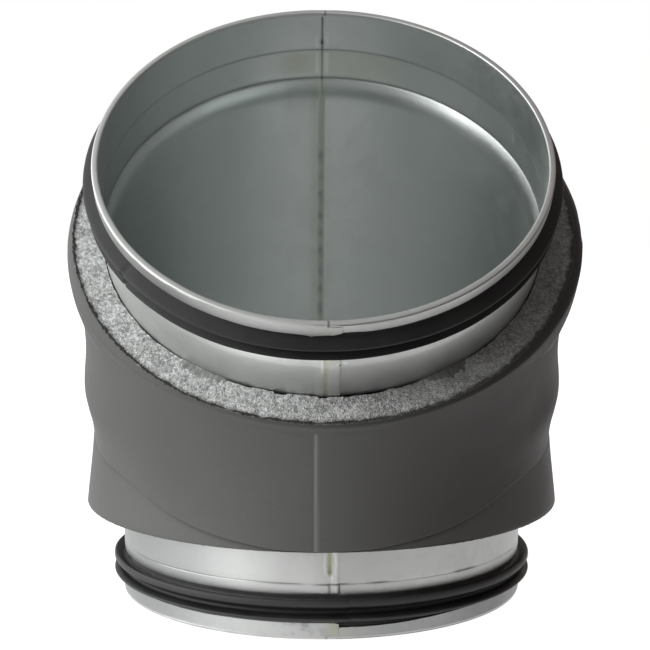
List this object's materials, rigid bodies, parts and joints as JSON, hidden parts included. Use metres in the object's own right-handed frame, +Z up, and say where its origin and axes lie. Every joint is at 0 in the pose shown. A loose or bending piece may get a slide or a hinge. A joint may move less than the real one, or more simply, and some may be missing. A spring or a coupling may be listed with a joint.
{
  "type": "insulated duct elbow",
  "caption": "Insulated 45 degree round duct bend: lapped pressed steel half-shells, a folded rim and rubber lip seal on each spigot, and a glued grey foam jacket.",
  "frame": {"origin": "centre of the lower rim, in the plane of its lowest edge", "axes": "+Z up the axis of the lower spigot, into the part; the bend leans towards -Y, so the upper spigot opens towards -Y and +Z; the lap seams lie in the plane x = 0"},
  "size_m": [0.188, 0.2207, 0.2265],
  "materials": {
    "galvanised_sheet": "zinc coated, satin with a faint spangle",
    "seal_rubber": "matt moulded rubber",
    "foam": "matt closed-cell foam with a smooth skin and a granular cut face"
  },
  "bodies": {
    "root": {"duct_half_left": "galvanised_sheet", "duct_half_right": "galvanised_sheet", "seal_lower": "seal_rubber", "seal_upper": "seal_rubber", "foam_gore_lower": "foam", "foam_gore_middle": "foam", "foam_gore_upper": "foam"}
  },
  "joints": []
}
